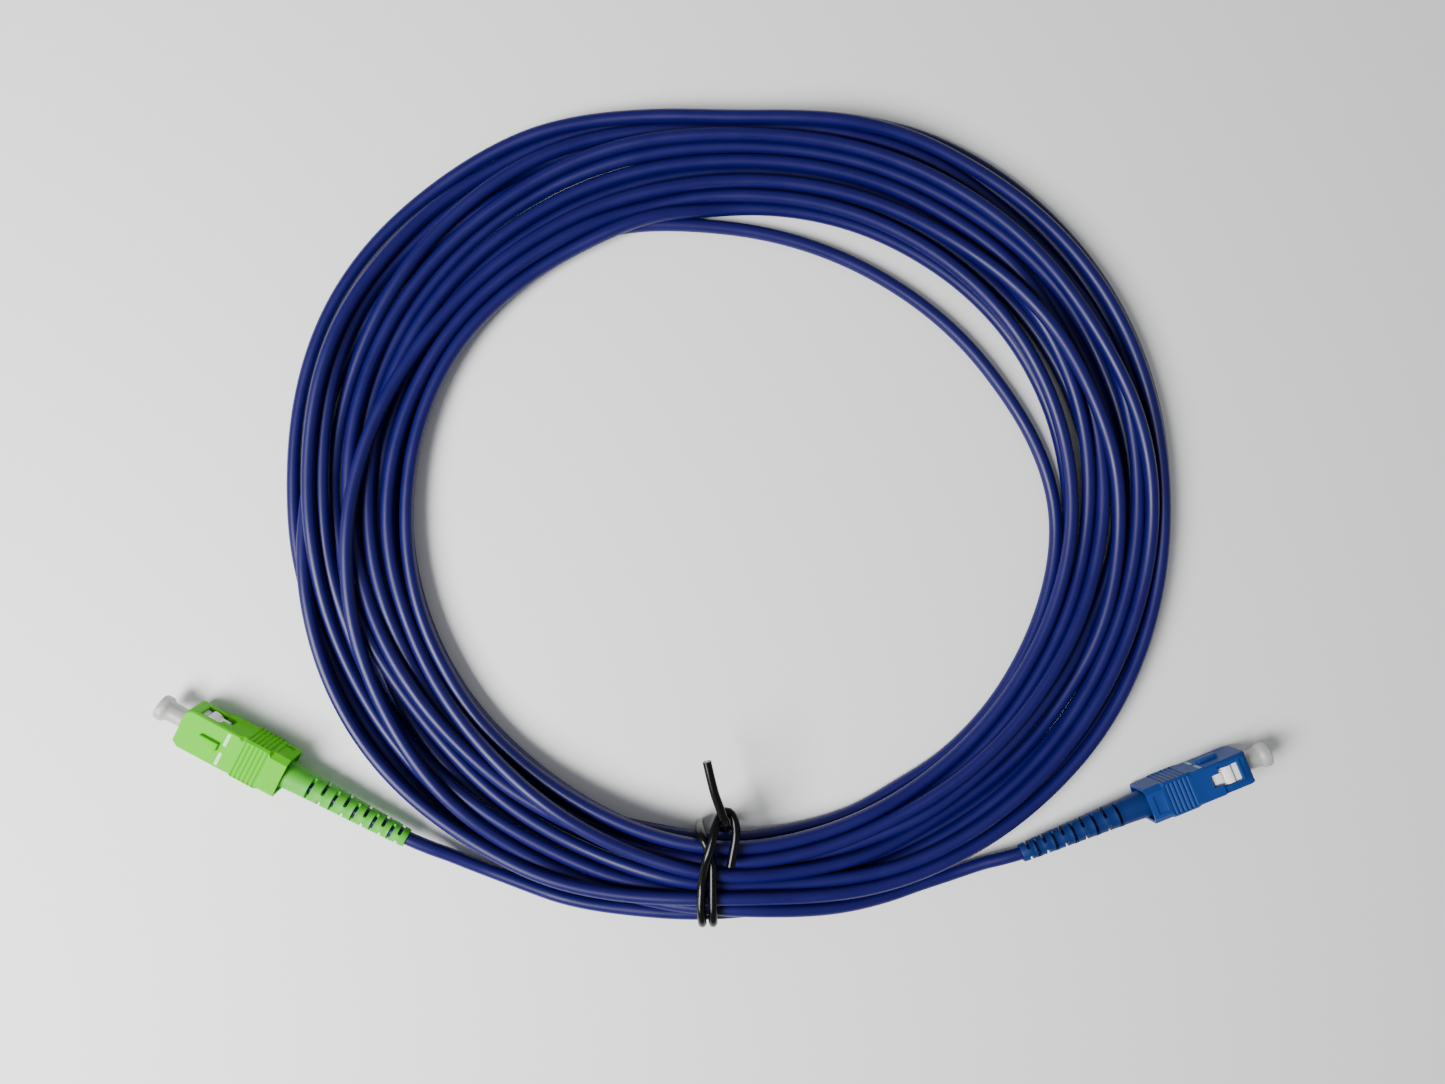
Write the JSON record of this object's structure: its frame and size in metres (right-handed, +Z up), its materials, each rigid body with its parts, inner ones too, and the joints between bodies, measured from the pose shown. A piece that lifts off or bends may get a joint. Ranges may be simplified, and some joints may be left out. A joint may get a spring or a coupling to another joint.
{
  "type": "fibre optic patch cord",
  "caption": "Coiled single-fibre optic patch cord with a push-pull square plug and dust cap on each end, one angled-polish and one straight, held by a wire tie.",
  "frame": {"origin": "on the surface the cord lies on, under the middle of the box round the two plugs (the cord and its tie left out)", "axes": "+X from the green plug towards the blue one, +Y from the plugs towards the middle of the coil, +Z up"},
  "size_m": [0.2429, 0.1781, 0.0162],
  "materials": {
    "green_plastic": "moulded, satin",
    "green_rubber": "soft satin",
    "blue_plastic": "moulded, satin",
    "blue_rubber": "soft satin",
    "frame_plastic": "moulded, satin",
    "cap_plastic": "frosted, slightly translucent",
    "ceramic": "polished zirconia ceramic",
    "steel": "drawn wire and tube",
    "nickel": "nickel plated",
    "fibre_buffer": "smooth extruded",
    "jacket": "smooth extruded, satin",
    "tie_plastic": "glossy coating"
  },
  "bodies": {
    "cord_and_plugs": {"cord_coil": "jacket", "cord_loose_turn": "jacket", "cord_lead_green": "jacket", "cord_lead_blue": "jacket", "tie_jacket": "tie_plastic", "tie_wire": "steel", "green_plug_frame": "frame_plastic", "green_ferrule_spring": "steel", "green_backbone": "nickel", "green_crimp_sleeve": "steel", "green_boot": "green_rubber", "blue_plug_frame": "frame_plastic", "blue_ferrule_spring": "steel", "blue_backbone": "nickel", "blue_crimp_sleeve": "steel", "blue_boot": "blue_rubber"},
    "green_grip": {"green_grip": "green_plastic"},
    "green_ferrule_train": {"green_ferrule": "ceramic", "green_ferrule_flange": "nickel", "green_buffered_fibre": "fibre_buffer"},
    "green_dust_cap": {"green_dust_cap": "cap_plastic"},
    "blue_grip": {"blue_grip": "blue_plastic"},
    "blue_ferrule_train": {"blue_ferrule": "ceramic", "blue_ferrule_flange": "nickel", "blue_buffered_fibre": "fibre_buffer"},
    "blue_dust_cap": {"blue_dust_cap": "cap_plastic"}
  },
  "joints": [
    {"name": "green_grip_slide", "type": "slide", "parent": "cord_and_plugs", "child": "green_grip", "axis": [-0.8711, 0.4908, 0.0175], "range_m": [-0.0008, 0.0003]},
    {"name": "green_ferrule_retract", "type": "slide", "parent": "cord_and_plugs", "child": "green_ferrule_train", "axis": [0.8711, -0.4908, -0.0175], "range_m": [0, 0.001], "stiffness_N_per_m": 2000, "springref_m": -0.004, "deforming": ["green_ferrule_spring"]},
    {"name": "green_dust_cap_pull", "type": "slide", "parent": "cord_and_plugs", "child": "green_dust_cap", "axis": [-0.8711, 0.4908, 0.0175], "range_m": [0, 0.008]},
    {"name": "blue_grip_slide", "type": "slide", "parent": "cord_and_plugs", "child": "blue_grip", "axis": [0.929, 0.3697, 0.0175], "range_m": [-0.0011, 0]},
    {"name": "blue_ferrule_retract", "type": "slide", "parent": "cord_and_plugs", "child": "blue_ferrule_train", "axis": [-0.929, -0.3697, -0.0175], "range_m": [0, 0.001], "stiffness_N_per_m": 2000, "springref_m": -0.004, "deforming": ["blue_ferrule_spring"]},
    {"name": "blue_dust_cap_pull", "type": "slide", "parent": "cord_and_plugs", "child": "blue_dust_cap", "axis": [0.929, 0.3697, 0.0175], "range_m": [0, 0.008]}
  ]
}
